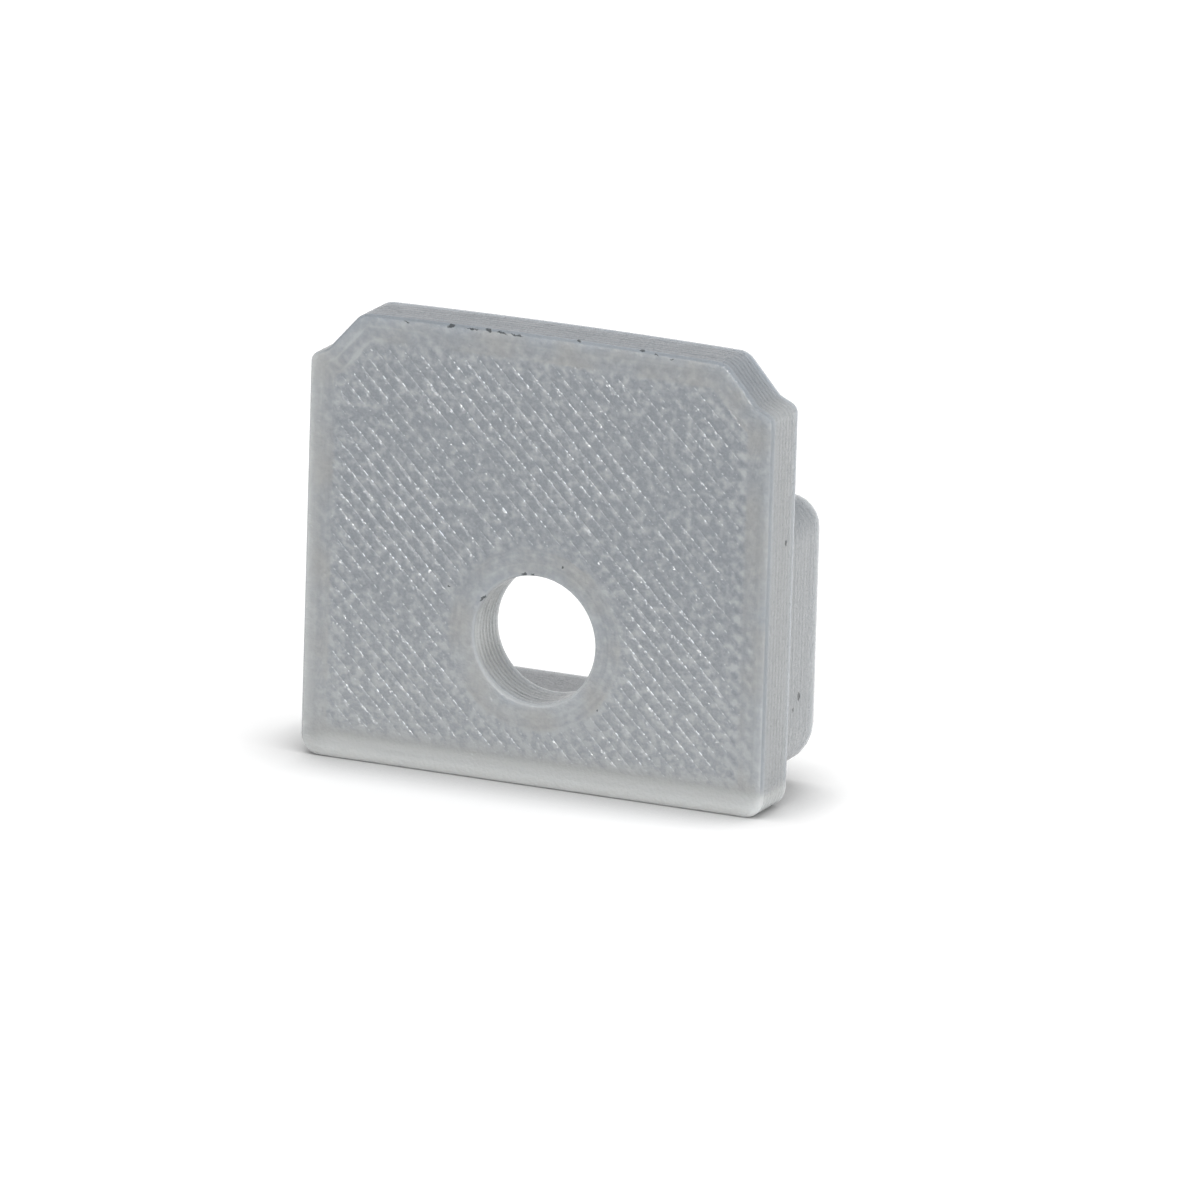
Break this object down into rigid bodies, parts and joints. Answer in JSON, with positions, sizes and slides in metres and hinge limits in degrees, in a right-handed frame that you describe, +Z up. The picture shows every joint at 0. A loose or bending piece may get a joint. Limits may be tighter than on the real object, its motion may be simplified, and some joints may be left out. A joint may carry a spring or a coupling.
{
  "type": "profile end cap",
  "caption": "Printed end cap for a U-shaped light profile: a notched plate with a round cable hole and a rounded hollow plug behind it.",
  "frame": {"origin": "centre of the underside of the cap's box: on the centre line, at the plate's bottom edge, half way along the depth", "axes": "+X across the profile, +Y along the profile from the front face towards the plug, +Z up, towards the profile's cover"},
  "size_m": [0.017, 0.0052, 0.0156],
  "materials": {
    "printed_plastic": "translucent grey, satin, with fine print lines"
  },
  "bodies": {
    "root": {"end_cap": "printed_plastic"}
  },
  "joints": []
}
